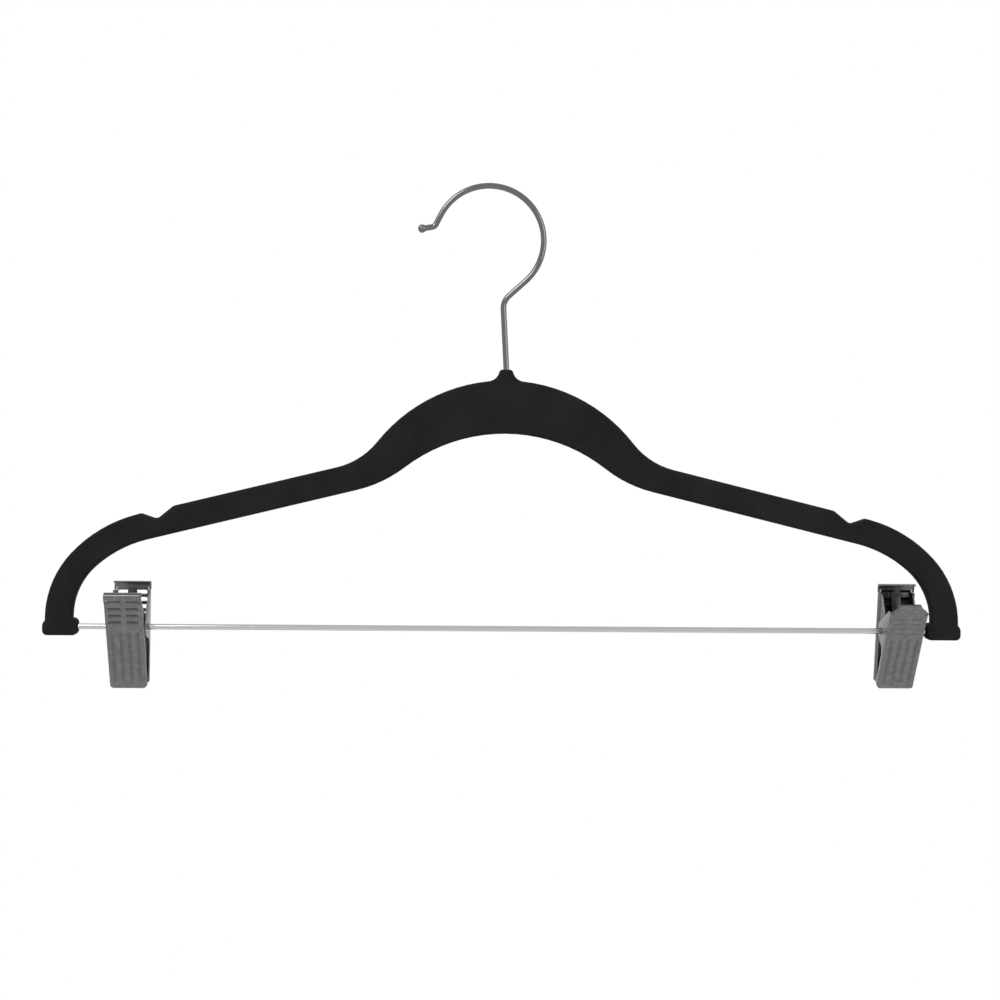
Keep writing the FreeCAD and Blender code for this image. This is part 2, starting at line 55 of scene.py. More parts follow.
# Hanger body: one moulding of tough black plastic with its neck and feet, covered
# all over with short nylon flock shot into wet glue, so that it looks like velvet.

def linear(hex_colour):
    """sRGB hex to the linear RGBA that the shader takes."""
    channels = [int(hex_colour[i:i + 2], 16) / 255 for i in (1, 3, 5)]
    return [c / 12.92 if c <= 0.04045 else ((c + 0.055) / 1.055) ** 2.4 for c in channels] + [1.0]


def add(owner, kind, values=None, links=None, **settings):
    """A node in a material or the world, with its settings, input values and what feeds it."""
    tree = owner.node_tree
    new = tree.nodes.new(kind)
    for name, value in settings.items():
        setattr(new, name, value)
    for name, value in (values or {}).items():
        new.inputs[name].default_value = value
    for name, (other, output) in (links or {}).items():
        tree.links.new(other.outputs[output], new.inputs[name])
    return new


def new_material(name):
    """An empty material with a shader and its output."""
    material = bpy.data.materials.new(name)
    material.use_nodes = True
    material.node_tree.nodes.clear()
    shader = add(material, "ShaderNodeBsdfPrincipled")
    add(material, "ShaderNodeOutputMaterial", links={"Surface": (shader, "BSDF")})
    return material, shader


def dress(node, material):
    """Gives a CAD node its finish."""
    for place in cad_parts[node].material_slots:
        place.material = material


# Nap lies in patches of about this size.
NAP_PATCH = 18.18 * MM
# Flock fibres stand about 0.3 mm apart; drawn at 0.9 mm so that they show.
FIBRE_PITCH = 0.9 * MM


def nylon_flock():
    """Black nylon flock: almost no gloss, a soft sheen at the edges, a nap that lies in patches."""
    material, shader = new_material("black_nylon_flock")
    place = add(material, "ShaderNodeTexCoord")
    nap = add(
        material, "ShaderNodeTexNoise", {"Scale": 1 / NAP_PATCH, "Detail": 3.0, "Roughness": 0.55},
        {"Vector": (place, "Object")},
    )
    fibres = add(
        material, "ShaderNodeTexNoise", {"Scale": 1 / FIBRE_PITCH, "Detail": 2.0, "Roughness": 0.7},
        {"Vector": (place, "Object")},
    )
    both = add(
        material, "ShaderNodeMath", {1: 0.45}, {0: (fibres, "Fac")}, operation="MULTIPLY",
    )
    total = add(
        material, "ShaderNodeMath", links={0: (both, "Value"), 1: (nap, "Fac")}, operation="ADD",
    )
    shade = add(material, "ShaderNodeValToRGB", links={"Fac": (total, "Value")})
    shade.color_ramp.elements[0].position = 0.45
    shade.color_ramp.elements[0].color = linear("#171717")
    shade.color_ramp.elements[1].position = 1.05
    shade.color_ramp.elements[1].color = linear("#222223")
    bump = add(
        material, "ShaderNodeBump", {"Strength": 0.5, "Distance": 0.25 * MM},
        {"Height": (fibres, "Fac")},
    )
    tree = material.node_tree
    tree.links.new(shade.outputs["Color"], shader.inputs["Base Color"])
    tree.links.new(bump.outputs["Normal"], shader.inputs["Normal"])
    shader.inputs["Roughness"].default_value = 0.95
    shader.inputs["Specular IOR Level"].default_value = 0.15
    shader.inputs["Sheen Weight"].default_value = 0.06
    shader.inputs["Sheen Roughness"].default_value = 0.45
    shader.inputs["Sheen Tint"].default_value = linear("#c8c8cc")
    return material


dress("hanger_body", nylon_flock())


# Hook: 2.9 mm steel wire, bent on pins and chrome plated, with a ball rounded on the
# tip.  An upset head under the neck lets it turn.

# Waves in the plating, from one to the next along the wire.
WAVE_LENGTH = 6.25 * MM


def chrome_plate(name, roughness, colour):
    """Chrome on drawn wire: mirror-like, with the faint waviness of plating."""
    material, shader = new_material(name)
    place = add(material, "ShaderNodeTexCoord")
    waves = add(
        material, "ShaderNodeTexNoise", {"Scale": 1 / WAVE_LENGTH, "Detail": 2.0},
        {"Vector": (place, "Object")},
    )
    spread = add(
        material, "ShaderNodeMapRange",
        {"From Min": 0.3, "From Max": 0.7, "To Min": roughness * 0.75, "To Max": roughness * 1.3},
        {"Value": (waves, "Fac")},
    )
    bump = add(
        material, "ShaderNodeBump", {"Strength": 0.08, "Distance": 0.1 * MM},
        {"Height": (waves, "Fac")},
    )
    tree = material.node_tree
    tree.links.new(spread.outputs["Result"], shader.inputs["Roughness"])
    tree.links.new(bump.outputs["Normal"], shader.inputs["Normal"])
    shader.inputs["Base Color"].default_value = linear(colour)
    shader.inputs["Metallic"].default_value = 1.0
    return material


# Painted reflection: the hook's chrome base colour is set dark to stand for the dark surroundings
# it mirrors, not for a darker plating.
dress("hook", chrome_plate("chrome_wire_painted_dark", 0.12, "#66686a"))


# Trouser bar: straight 2.8 mm wire, chrome plated and pressed into both feet; its base colour is
# lighter than the hook's, whose chrome has a painted dark reflection in it.

dress("trouser_bar", chrome_plate("bright_chrome_wire", 0.12, "#b4b6b8"))


# Clip jaws: 0.8 mm mild steel sheet, punched, pressed, folded into a channel with an
# ear each side for the bar, then zinc plated and passivated to a satin grey.

BAR_AXIS = sum(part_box("trouser_bar"), Vector()) / 2

SHEET = 0.8 * MM
JAW_HALF = 9.1 * MM
THUMB = 21.75 * MM
REACH = 29.5 * MM
STAND_OFF = 9.65 * MM
SPREAD = math.radians(11.1)
LIP_GAP = 0.3 * MM
THUMB_LIP = 3.0 * MM
THUMB_BEND = 1.2 * MM
JAW_BEND = 1.8 * MM
FOLD = 1.1 * MM
EAR = 5.0 * MM
EAR_HOLE = 1.8 * MM
EAR_STEP = 0.95 * MM
EAR_STEP_AT = 0.8 * MM
EAR_FOOT = 1.5 * MM
PLATE_TOP = THUMB - THUMB_BEND
PLATE_LOW = JAW_BEND - REACH
FOLD_LINE = JAW_HALF - FOLD
FLANGE_TOP = THUMB - 4.5 * MM
FLANGE_BACK = 4.5 * MM
FLANGE_JAW = 3.2 * MM
FLANGE_FOOT = 4.5 * MM
FLANGE_CORNER = 1.0 * MM
JAW_CORNER = 2.0 * MM
JAW_EDGE = 0.13 * MM
THUMB_CORNER_X = 3.6 * MM
THUMB_CORNER_Z = 2.6 * MM
RELIEF = 1.7 * MM
RELIEF_WIDTH = 0.3 * MM
RELIEF_CUT = 0.15 * MM
ROW_PITCH = 3.57 * MM
FIRST_WINDOW = THUMB - 5.4 * MM
FIRST_DASH = THUMB - 4.2 * MM
ROWS = 4
DASH_HALF = 3.1 * MM
DASH_OFFSET = 4.15 * MM
DASH_HEIGHT = 1.9 * MM
DASH_DEPTH = 0.4 * MM
DASH_STEP = 0.3 * MM
WINDOW_ROUND = 0.8 * MM
RIB_PITCH = 2.95 * MM
FIRST_RIB = THUMB - 7.1 * MM
RIB_DEPTH = 0.15 * MM
FLUTE_PITCH = 4.1 * MM
FLUTE_HALF = 1.4 * MM
FLUTE_DEPTH = 0.36 * MM
FLUTE_TOP = 2.4 * MM
FLUTE_LOW = -26.6 * MM
FLUTE_FADE = 4.0 * MM
# Share of the painted recess shade that a full-depth flute gets; a dash step gets all of it.
FLUTE_PAINTED_SHADE = 0.4
SLIT_EDGE = FOLD_LINE - RELIEF_WIDTH
# Places nearer than this count as one.
CLOSE = 0.02 * MM


def choose(piece, mode, test):
    """Selects the vertices, edges or faces whose middle passes the test."""
    bpy.ops.mesh.select_mode(type=mode)
    bpy.ops.mesh.select_all(action="DESELECT")
    mesh = bmesh.from_edit_mesh(piece.data)
    for item in {"VERT": mesh.verts, "EDGE": mesh.edges, "FACE": mesh.faces}[mode]:
        if mode == "VERT":
            middle = item.co
        else:
            middle = sum((v.co for v in item.verts), Vector()) / len(item.verts)
        if test(middle):
            item.select_set(True)
    mesh.select_flush_mode()
    bmesh.update_edit_mesh(piece.data)


def choose_numbers(piece, numbers):
    """Selects the vertices that have these numbers."""
    bpy.ops.mesh.select_mode(type="VERT")
    bpy.ops.mesh.select_all(action="DESELECT")
    mesh = bmesh.from_edit_mesh(piece.data)
    for v in mesh.verts:
        v.select_set(v.index in numbers)


def near(a, b):
    return abs(a - b) < CLOSE


def cut_across(normal, places, drop=False):
    """Cuts the whole sheet by planes; with drop, what lies beyond them goes."""
    for place in places:
        bpy.ops.mesh.select_all(action="SELECT")
        bpy.ops.mesh.bisect(plane_co=place, plane_no=normal, clear_outer=drop)


def pull(*step):
    """Extrudes what is chosen by a step."""
    bpy.ops.mesh.extrude_region_move(TRANSFORM_OT_translate={"value": step})


def pull_round(radius, angle, first, second, steps=4):
    """Extrudes the chosen edges round a bend that starts along first and turns to second."""
    for i in range(steps):
        a = angle * i / steps
        b = angle * (i + 1) / steps
        move = first * (radius * (math.sin(b) - math.sin(a)))
        move += second * (radius * (math.cos(a) - math.cos(b)))
        pull(*move)


def on_plate(p):
    """Whether a place lies in the flat plate and not in its lips."""
    return p.y < -STAND_OFF + 5 * CLOSE


def ear_touch():
    """Where the flange's slanting edge meets the ear, and its upper corner."""
    corner = Vector((FLANGE_BACK - STAND_OFF, FLANGE_TOP - FLANGE_CORNER))
    towards = math.atan2(corner.y, corner.x)
    angle = towards - math.acos(EAR / corner.length)
    return angle, corner


def flange_edge(z):
    """How far back the free edge of a flange stands at a height."""
    angle, corner = ear_touch()
    touch = Vector((EAR * math.cos(angle), EAR * math.sin(angle)))
    straight = FLANGE_JAW - STAND_OFF
    below = [
        (-EAR, 0.0), (-EAR - EAR_FOOT, straight + EAR_FOOT), (-EAR - FLANGE_FOOT, straight),
        (-REACH, straight),
    ]
    if z >= corner.y:
        return corner.x - (z - corner.y)
    if z > touch.y:
        part = (z - touch.y) / (corner.y - touch.y)
        return touch.x + (corner.x - touch.x) * part
    if z > -EAR:
        return math.sqrt(EAR ** 2 - z ** 2)
    for (high, back), (low, next_back) in zip(below, below[1:]):
        if z >= low - CLOSE / 2:
            return back + (next_back - back) * (high - z) / (high - low)
    return below[-1][1]


def ear_rows():
    """Heights at which a flange's edge changes its course."""
    angle, corner = ear_touch()
    turns = 12
    step = (angle + math.pi / 2) / turns
    round_rows = [EAR * math.sin(step * i - math.pi / 2) for i in range(turns + 1)]
    return round_rows + [corner.y, -EAR - EAR_FOOT, -EAR - FLANGE_FOOT]


def mark_rows(pattern):
    """Heights of the rows of windows, pressed dashes or ribs on the thumb end."""
    first, pitch = {
        "windows": (FIRST_WINDOW, ROW_PITCH),
        "dashes": (FIRST_DASH, ROW_PITCH),
        "ribs": (FIRST_RIB, RIB_PITCH),
    }[pattern]
    return [first - pitch * i for i in range(ROWS)]


def flute_columns():
    return [FLUTE_PITCH * (i - 1.5) for i in range(4)]


def flute_ends():
    """Heights at which a flute is cut across, and the share of its depth there."""
    return (
        (FLUTE_TOP, 0.0), (FLUTE_TOP - FLUTE_HALF / 2, 0.7), (FLUTE_TOP - FLUTE_HALF, 1.0),
        (FLUTE_LOW + FLUTE_FADE, 1.0), (FLUTE_LOW + FLUTE_FADE / 2, 0.6), (FLUTE_LOW, 0.0),
    )


def flute_share(z):
    """Share of a flute's depth at a height: full between its ends, nothing beyond."""
    ends = flute_ends()
    for (high, above), (low, below) in zip(ends, ends[1:]):
        if low <= z <= high:
            return below + (above - below) * (z - low) / (high - low)
    return 0.0


def in_dash(x, z, rows):
    beside = abs(abs(x) - DASH_OFFSET) < DASH_HALF
    return beside and any(abs(z - row) < DASH_HEIGHT / 2 for row in rows)


def pressed_depth(x, z):
    """Depth of the flutes at a place on the plate."""
    for column in flute_columns():
        across = abs(x - column) / FLUTE_HALF
        if across < 0.99:
            bowl = 0.5 + 0.5 * math.cos(math.pi * across)
            return FLUTE_DEPTH * bowl * flute_share(z)
    return 0.0


def thumb_depth(x, z, pattern):
    """Depth of a dash or rib: steep at the upper edge, running out below."""
    half = DASH_HALF - DASH_STEP + CLOSE / 2
    if abs(abs(x) - DASH_OFFSET) > half:
        return 0.0
    for row in mark_rows(pattern):
        if pattern == "dashes" and near(z, row + DASH_HEIGHT / 2 - DASH_STEP):
            return DASH_DEPTH
        if pattern == "ribs" and near(z, row):
            return RIB_DEPTH
    return 0.0


def round_windows(piece, rows):
    """Draws the four corners of every punched window in to a radius."""
    mesh = bmesh.from_edit_mesh(piece.data)
    moves = {}
    for v in mesh.verts:
        from_end = DASH_HALF - abs(abs(v.co.x) - DASH_OFFSET)
        if not -CLOSE / 2 < from_end < WINDOW_ROUND:
            continue
        for row in rows:
            above = v.co.z - row
            if abs(above) < DASH_HEIGHT / 2 + CLOSE / 2:
                inward = min(WINDOW_ROUND - from_end, WINDOW_ROUND)
                half = DASH_HEIGHT / 2 - WINDOW_ROUND + math.sqrt(WINDOW_ROUND ** 2 - inward ** 2)
                fall = max(abs(above) - half, 0.0)
                moves.setdefault(round(math.copysign(fall, above), 7), set()).add(v.index)
    for fall, numbers in moves.items():
        choose_numbers(piece, numbers)
        bpy.ops.transform.translate(value=(0, 0, -fall))


def blank(name):
    """Flat plate in front of the bar, up to where its lips bend, left in edit mode."""
    bpy.ops.object.select_all(action="DESELECT")
    bpy.ops.mesh.primitive_plane_add(size=1, rotation=(math.pi / 2, 0, 0))
    piece = bpy.context.object
    piece.name = name
    piece.scale = (2 * JAW_HALF, PLATE_TOP - PLATE_LOW, 1)
    piece.location = (0, -STAND_OFF, (PLATE_TOP + PLATE_LOW) / 2)
    bpy.ops.object.transform_apply(location=True, rotation=True, scale=True)
    bpy.ops.object.mode_set(mode="EDIT")
    return piece


def cut_grid(pattern):
    """Cuts the plate where its folds, slits, marks and flutes begin and end."""
    columns = [FOLD_LINE, -FOLD_LINE, SLIT_EDGE, -SLIT_EDGE, 0.0]
    for column in flute_columns():
        columns += [column + FLUTE_HALF * share / 3 for share in range(-3, 4)]
    for side in (-1, 1):
        for half in (DASH_HALF, DASH_HALF - DASH_STEP):
            columns += [side * DASH_OFFSET - half, side * DASH_OFFSET + half]
    rows = ear_rows() + [FLANGE_TOP, FLANGE_TOP + RELIEF_CUT, FLANGE_TOP + RELIEF]
    rows += [z for z, share in flute_ends()]
    for row in mark_rows(pattern):
        if pattern == "ribs":
            rows += [row - DASH_HEIGHT / 4, row, row + DASH_HEIGHT / 4]
        else:
            rows += [row - DASH_HEIGHT / 2, row + DASH_HEIGHT / 2]
        if pattern == "dashes":
            rows.append(row + DASH_HEIGHT / 2 - DASH_STEP)
    cut_across((1, 0, 0), [(x, 0, 0) for x in columns])
    cut_across((0, 0, 1), [(0, 0, z) for z in rows])


def punch_windows(piece, rows):
    """Punches the rows of windows and rounds their corners."""
    choose(piece, "FACE", lambda p: in_dash(p.x, p.z, rows))
    bpy.ops.mesh.delete(type="FACE")
    round_windows(piece, rows)


def fold_lips(piece):
    """Bends the thumb edge and the jaw edge back, the jaw's as far as the other jaw."""
    back = Vector((0, 1, 0))
    up = Vector((0, 0, 1))
    choose(piece, "EDGE", lambda p: near(p.z, PLATE_TOP))
    pull_round(THUMB_BEND, math.pi / 2, up, back)
    pull(0, THUMB_LIP - THUMB_BEND, 0)
    choose(piece, "EDGE", lambda p: near(p.z, PLATE_LOW))
    pull_round(JAW_BEND, math.pi / 2, -up, back)
    lip_end = (REACH * math.sin(SPREAD) + LIP_GAP / 2) / math.cos(SPREAD)
    pull(0, STAND_OFF - JAW_BEND - lip_end, 0)


def slit_plate(piece):
    """Cuts away the edges that the flanges take up, with a slit above that lets each fold."""
    choose(piece, "FACE", lambda p: on_plate(p) and (
        abs(p.x) > FOLD_LINE and PLATE_LOW < p.z < FLANGE_TOP + RELIEF_CUT
        or SLIT_EDGE < abs(p.x) < FOLD_LINE and FLANGE_TOP < p.z < FLANGE_TOP + RELIEF
    ))
    bpy.ops.mesh.delete(type="FACE")


def fold_flange(piece, side, inner_ears):
    """Folds one flange back, stepped in for an inner ear, and shapes its free edge."""
    choose(piece, "EDGE", lambda p: near(p.x, side * FOLD_LINE)
           and on_plate(p) and PLATE_LOW < p.z < FLANGE_TOP)
    pull_round(FOLD, math.pi / 2, Vector((side, 0, 0)), Vector((0, 1, 0)))
    if inner_ears:
        pull(0, EAR_STEP_AT, 0)
        pull(-side * EAR_STEP / 2, EAR_STEP / 2, 0)
        pull(-side * EAR_STEP / 2, EAR_STEP / 2, 0)
    pull(0, 5 * CLOSE, 0)
    ear_x = side * (JAW_HALF - (EAR_STEP if inner_ears else 0))
    mesh = bmesh.from_edit_mesh(piece.data)
    free = [v.co.copy() for v in mesh.verts if v.select]
    heights = sorted({round(place.z, 7) for place in free})
    start_y = free[0].y
    for height in heights:
        choose(piece, "VERT", lambda p: near(p.x, ear_x) and near(p.y, start_y)
               and abs(p.z - height) < 1e-6)
        bpy.ops.transform.translate(value=(0, flange_edge(height) - start_y, 0))


def take_corners_off(chamfered):
    """Cuts the corners off the jaw end, and with chamfered off the thumb end too."""
    edge = JAW_HALF - JAW_CORNER
    cut_across((1, 0, -1), [(edge, 0, -REACH)], drop=True)
    cut_across((-1, 0, -1), [(-edge, 0, -REACH)], drop=True)
    if chamfered:
        edge = JAW_HALF - THUMB_CORNER_X
        slope = (THUMB_CORNER_Z / MM, 0, THUMB_CORNER_X / MM)
        cut_across(slope, [(edge, 0, THUMB)], drop=True)
        cut_across((-slope[0], 0, slope[2]), [(-edge, 0, THUMB)], drop=True)


def face_outwards(piece):
    """Merges doubles and turns the sheet's faces to its outside, out of edit mode."""
    bpy.ops.mesh.select_all(action="SELECT")
    bpy.ops.mesh.remove_doubles(threshold=0.001 * MM)
    bpy.ops.mesh.normals_make_consistent(inside=False)
    mesh = bmesh.from_edit_mesh(piece.data)
    plate = [f for f in mesh.faces if near(f.calc_center_median().y, -STAND_OFF)]
    if sum(f.normal.y for f in plate) > 0:
        bpy.ops.mesh.flip_normals()
    bpy.ops.object.mode_set(mode="OBJECT")


def give_wall(piece, thickness):
    """Gives a sheet its wall, inwards from the outside that was drawn."""
    wall = piece.modifiers.new("wall", "SOLIDIFY")
    wall.thickness = thickness
    wall.offset = -1
    wall.use_even_offset = True
    bpy.ops.object.modifier_apply(modifier=wall.name)


def break_edges(piece, width, keep_in_bounds):
    """Takes the sharpness off the sheet's edges, as barrelling does."""
    edge = piece.modifiers.new("edges", "BEVEL")
    edge.width = width
    edge.segments = 2
    edge.use_clamp_overlap = keep_in_bounds
    edge.limit_method = "ANGLE"
    edge.angle_limit = math.radians(50)
    bpy.ops.object.modifier_apply(modifier=edge.name)


def pressed_jaw(name, inner_ears, pattern, chamfered, material):
    """One jaw in front of the bar, upright, folded from its blank."""
    piece = blank(name)
    cut_grid(pattern)
    if pattern == "windows":
        punch_windows(piece, mark_rows(pattern))
    fold_lips(piece)
    slit_plate(piece)
    for side in (-1, 1):
        fold_flange(piece, side, inner_ears)
    take_corners_off(chamfered)
    face_outwards(piece)
    give_wall(piece, SHEET)
    drill_ears(piece)
    break_edges(piece, JAW_EDGE, False)
    press_plate(piece, pattern)
    bpy.ops.object.shade_smooth_by_angle(angle=math.radians(35))
    piece.data.materials.append(material)
    return piece


def press_plate(piece, pattern):
    """Presses flutes, dashes and ribs through both faces of the plate alike."""
    bpy.ops.object.mode_set(mode="EDIT")
    depths = {}
    recess_painted_shade = {}
    mesh = bmesh.from_edit_mesh(piece.data)
    for v in mesh.verts:
        if near(v.co.y, -STAND_OFF) or near(v.co.y, SHEET - STAND_OFF):
            flute = pressed_depth(v.co.x, v.co.z)
            mark = thumb_depth(v.co.x, v.co.z, pattern)
            depths.setdefault(round(max(flute, mark), 7), set()).add(v.index)
            # Painted shade: how far the base colour is darkened here, most at the dash steps and
            # flute bottoms where shade falls.
            recess_painted_shade[v.index] = mark / DASH_DEPTH + FLUTE_PAINTED_SHADE * flute / FLUTE_DEPTH
    depths.pop(0.0, None)
    for depth, numbers in depths.items():
        choose_numbers(piece, numbers)
        bpy.ops.transform.translate(value=(0, depth, 0))
    bpy.ops.object.mode_set(mode="OBJECT")
    # The attribute carries the painted shade of the recesses to the zinc's base colour.
    pressed = piece.data.attributes.new("pressed", "FLOAT", "POINT")
    for number, share in recess_painted_shade.items():
        pressed.data[number].value = share


def drill_ears(piece):
    """Bores both ears for the bar."""
    bpy.ops.object.select_all(action="DESELECT")
    bpy.ops.mesh.primitive_cylinder_add(
        vertices=48, radius=EAR_HOLE, depth=4 * JAW_HALF, rotation=(0, math.pi / 2, 0)
    )
    drill = bpy.context.object
    bpy.ops.object.select_all(action="DESELECT")
    bpy.context.view_layer.objects.active = piece
    piece.select_set(True)
    hole = piece.modifiers.new("bar_hole", "BOOLEAN")
    hole.operation = "DIFFERENCE"
    hole.object = drill
    hole.solver = "EXACT"
    bpy.ops.object.modifier_apply(modifier=hole.name)
    bpy.data.objects.remove(drill)


def stand(piece, turn, lean, swing, x):
    """Puts a clip piece on the bar: leant, turned round, swung and moved along."""
    place = Matrix.Translation(Vector((x, BAR_AXIS.y, BAR_AXIS.z)))
    place = place @ Matrix.Rotation(math.radians(swing), 4, "X")
    place = place @ Matrix.Rotation(turn, 4, "Z") @ Matrix.Rotation(lean, 4, "X")
    piece.matrix_world = place
    bpy.ops.object.select_all(action="DESELECT")
    bpy.context.view_layer.objects.active = piece
    piece.select_set(True)
    bpy.ops.object.transform_apply(location=True, rotation=True, scale=True)


# Blotches in the passivated zinc are about this wide.
BLOTCH = 2.381 * MM
# Drawing lines on sheet lie about 0.1 mm apart; drawn at 0.5 mm so that they show.
LINE_PITCH = 0.5 * MM


def satin_zinc():
    """Passivated zinc on pressed sheet: mid grey, satin, a little mottled, drawn lengthwise, with
    painted shade darkening its pressed recesses.
    """
    material, shader = new_material("satin_zinc_plate")
    place = add(material, "ShaderNodeTexCoord")
    blotches = add(
        material, "ShaderNodeTexNoise", {"Scale": 1 / BLOTCH, "Detail": 4.0, "Roughness": 0.6},
        {"Vector": (place, "Object")},
    )
    stretch = add(
        material, "ShaderNodeMapping", {"Scale": (1.0, 0.05, 0.05)}, {"Vector": (place, "Object")},
    )
    lines = add(
        material, "ShaderNodeTexNoise", {"Scale": 1 / LINE_PITCH, "Detail": 2.0},
        {"Vector": (stretch, "Vector")},
    )
    shade = add(material, "ShaderNodeValToRGB", links={"Fac": (blotches, "Fac")})
    shade.color_ramp.elements[0].position = 0.3
    shade.color_ramp.elements[0].color = linear("#606162")
    shade.color_ramp.elements[1].position = 0.75
    shade.color_ramp.elements[1].color = linear("#747576")
    spread = add(
        material, "ShaderNodeMapRange",
        {"From Min": 0.3, "From Max": 0.7, "To Min": 0.24, "To Max": 0.34},
        {"Value": (lines, "Fac")},
    )
    bump = add(
        material, "ShaderNodeBump", {"Strength": 0.12, "Distance": 0.05 * MM},
        {"Height": (lines, "Fac")},
    )
    # Plating is thinner and duller down in what the tool pressed.
    # Painted shade: the base colour is darkened towards #3c3d3e down in the pressed dashes, ribs
    # and flutes, where shade falls in the recesses.
    pressed = add(material, "ShaderNodeAttribute", attribute_name="pressed")
    # The Mix node's sockets for colour are its inputs 6 and 7 and its output 2.
    painted_shade_mix = add(
        material, "ShaderNodeMix", {7: linear("#3c3d3e")},
        {"Factor": (pressed, "Fac"), 6: (shade, "Color")}, data_type="RGBA",
    )
    tree = material.node_tree
    tree.links.new(painted_shade_mix.outputs[2], shader.inputs["Base Color"])
    tree.links.new(spread.outputs["Result"], shader.inputs["Roughness"])
    tree.links.new(bump.outputs["Normal"], shader.inputs["Normal"])
    shader.inputs["Metallic"].default_value = 1.0
    return material


zinc = satin_zinc()
# Each clip's place along the bar and how many degrees it leans.
CLIPS = {"left": (-183.5 * MM, 9.3), "right": (195.2 * MM, 20.1)}
# Side, place, inner ears, marks on the thumb end, thumb corners cut off.
JAWS = (
    ("left", "front", True, "dashes", False),
    ("left", "rear", False, "windows", False),
    ("right", "front", False, "ribs", True),
    ("right", "rear", True, "dashes", False),
)
for side, place, inner_ears, pattern, chamfered in JAWS:
    node = f"{side}_{place}_jaw"
    jaw = pressed_jaw(f"{node}_pressing", inner_ears, pattern, chamfered, zinc)
    x, swing = CLIPS[side]
    stand(jaw, 0 if place == "front" else math.pi, SPREAD, swing, x)
    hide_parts(node)
    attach(jaw, f"{side}_{place}")


# Leaf springs: tempered steel strip bent round the bar, an arm pushing out each
# thumb end.  Left with the blue-grey skin of tempering.

STRIP = 0.5 * MM
STRIP_HALF = 2.3 * MM
STRIP_INSIDE = 1.7 * MM
STRIP_TOP = 16.5 * MM
STRIP_PAD = 4.0 * MM
STRIP_GAP = 0.1 * MM
STRIP_ROUND = 2.0 * MM
STRIP_EDGE = 0.08 * MM
# Marks of tempering are about this wide.
TEMPER_MARK = 1.4286 * MM


def tempered_strip():
    """Tempered spring strip: dark grey, fairly glossy, a little uneven in tone."""
    material, shader = new_material("tempered_spring_steel")
    place = add(material, "ShaderNodeTexCoord")
    marks = add(
        material, "ShaderNodeTexNoise", {"Scale": 1 / TEMPER_MARK, "Detail": 3.0},
        {"Vector": (place, "Object")},
    )
    shade = add(material, "ShaderNodeValToRGB", links={"Fac": (marks, "Fac")})
    shade.color_ramp.elements[0].color = linear("#2e3032")
    shade.color_ramp.elements[1].color = linear("#46484a")
    material.node_tree.links.new(shade.outputs["Color"], shader.inputs["Base Color"])
    shader.inputs["Metallic"].default_value = 1.0
    shader.inputs["Roughness"].default_value = 0.33
    return material


def bent_strip(name, material):
    """Strip followed from the front tip round under the bar to the rear tip."""
    outside = STRIP_INSIDE + STRIP
    plate_inside = STAND_OFF - SHEET - STRIP_GAP
    tip = Vector((0, -(plate_inside + STRIP_TOP * math.sin(SPREAD)) / math.cos(SPREAD), STRIP_TOP))
    knee = tip + Vector((0, math.sin(SPREAD), -math.cos(SPREAD))) * STRIP_PAD
    distance = math.hypot(knee.y, knee.z)
    lean = math.atan2(-knee.y, knee.z) - math.asin(outside / distance)
    steps = 14
    start = math.pi + lean
    path = [tip, knee]
    for i in range(steps + 1):
        angle = start + (math.pi - 2 * lean) * i / steps
        path.append(Vector((0, outside * math.cos(angle), outside * math.sin(angle))))
    path += [Vector((0, -knee.y, knee.z)), Vector((0, -tip.y, tip.z))]

    bpy.ops.object.select_all(action="DESELECT")
    bpy.ops.mesh.primitive_plane_add(size=1)
    piece = bpy.context.object
    piece.name = name
    bpy.ops.object.mode_set(mode="EDIT")
    sliver = 0.2 * MM
    bpy.ops.transform.resize(value=(2 * STRIP_HALF, sliver, 1))
    choose(piece, "VERT", lambda p: p.y < 0)
    bpy.ops.mesh.delete(type="VERT")
    choose(piece, "VERT", lambda p: True)
    bpy.ops.transform.translate(value=tuple(tip - Vector((0, sliver / 2, 0))))
    for before, after in zip(path, path[1:]):
        pull(*(after - before))
    choose(piece, "VERT", lambda p: near(p.z, tip.z))
    bpy.ops.mesh.bevel(offset=STRIP_ROUND, segments=6, affect="VERTICES")
    bpy.ops.mesh.select_all(action="SELECT")
    bpy.ops.mesh.normals_make_consistent(inside=False)
    mesh = bmesh.from_edit_mesh(piece.data)
    lowest = min(mesh.faces, key=lambda f: f.calc_center_median().z)
    if lowest.normal.z > 0:
        bpy.ops.mesh.flip_normals()
    bpy.ops.object.mode_set(mode="OBJECT")
    give_wall(piece, STRIP)
    break_edges(piece, STRIP_EDGE, True)
    bpy.ops.object.shade_smooth_by_angle(angle=math.radians(40))
    piece.data.materials.append(material)
    return piece


blued = tempered_strip()
for side, (x, swing) in CLIPS.items():
    spring = bent_strip(f"{side}_leaf_spring", blued)
    stand(spring, 0, 0, swing, x)
    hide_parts(f"{side}_spring")
    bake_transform(spring)


# Studio: a pale floor far below the hanging hanger, a white surround that metal mirrors
# too, and two soft lamps.

def seen_or_mirrored(owner):
    """1 for rays from the eye and for those that metal or glass passes on, otherwise 0."""
    ray = add(owner, "ShaderNodeLightPath")
    either = add(
        owner, "ShaderNodeMath", links={0: (ray, "Is Camera Ray"), 1: (ray, "Is Glossy Ray")},
        operation="MAXIMUM",
    )
    return add(
        owner, "ShaderNodeMath", links={0: (either, "Value"), 1: (ray, "Is Transmission Ray")},
        operation="MAXIMUM",
    )


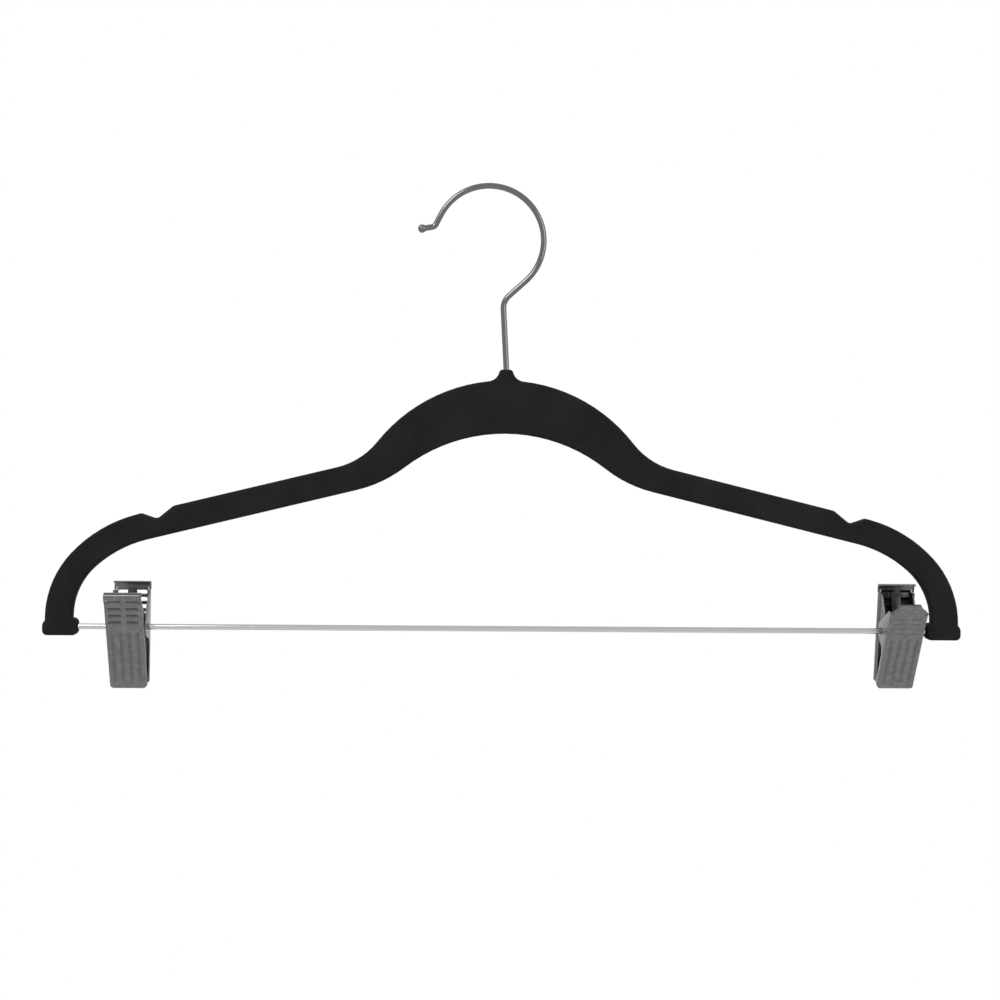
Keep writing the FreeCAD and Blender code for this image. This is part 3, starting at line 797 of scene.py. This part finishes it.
def white_surround(strength):
    """White where it is seen or mirrored, and a plain even light on the object."""
    world = bpy.data.worlds.new("surround")
    bpy.context.scene.world = world
    world.use_nodes = True
    world.node_tree.nodes.clear()
    level = add(
        world, "ShaderNodeMapRange", {"To Min": strength, "To Max": 1.0},
        {"Value": (seen_or_mirrored(world), "Value")},
    )
    light = add(
        world, "ShaderNodeBackground", {"Color": (1.0, 1.0, 1.0, 1.0)},
        {"Strength": (level, "Result")},
    )
    add(world, "ShaderNodeOutputWorld", links={"Surface": (light, "Background")})


def soft_lamp(name, place, target, size, power):
    """Square soft box that points at a place."""
    data = bpy.data.lights.new(name, "AREA")
    data.shape = "RECTANGLE"
    data.size, data.size_y = size
    data.energy = power
    lamp = bpy.data.objects.new(name, data)
    bpy.context.collection.objects.link(lamp)
    lamp.location = place
    lamp.rotation_euler = (Vector(target) - Vector(place)).to_track_quat("-Z", "Y").to_euler()


FLOOR_LIFT = 0.4


def pale_floor(size, place):
    """Plain pale floor, lifted only where it is seen or mirrored, so that shadows stay."""
    material, shader = new_material("pale_floor")
    own = add(
        material, "ShaderNodeMath", {1: FLOOR_LIFT}, {0: (seen_or_mirrored(material), "Value")},
        operation="MULTIPLY",
    )
    material.node_tree.links.new(own.outputs["Value"], shader.inputs["Emission Strength"])
    shader.inputs["Emission Color"].default_value = (1.0, 1.0, 1.0, 1.0)
    shader.inputs["Base Color"].default_value = linear("#eeeeee")
    shader.inputs["Roughness"].default_value = 0.9
    bpy.ops.object.select_all(action="DESELECT")
    bpy.ops.mesh.primitive_plane_add(size=size, location=place)
    piece = bpy.context.object
    piece.name = "pale_floor"
    piece.data.materials.append(material)


white_surround(0.6)
pale_floor(4.0, (0, -0.5, -1.0))
soft_lamp("key", (-0.7, -0.9, 0.9), (0, 0, -0.1), (0.6, 0.6), 9.0)
soft_lamp("fill", (0.9, -0.8, 0.2), (0, 0, -0.15), (0.5, 0.8), 4.0)

eye = bpy.data.cameras.new("eye")
eye.sensor_width = 36.0
eye.lens = 55.33
eye.shift_x = 0.02245
eye.shift_y = -0.0720
camera = bpy.data.objects.new("eye", eye)
bpy.context.collection.objects.link(camera)
camera.location = (-0.029, -0.7542, -0.1159)
camera.rotation_euler = (math.pi / 2, -0.00866, -0.02014)
bpy.context.scene.camera = camera
bpy.context.scene.view_settings.view_transform = "Standard"
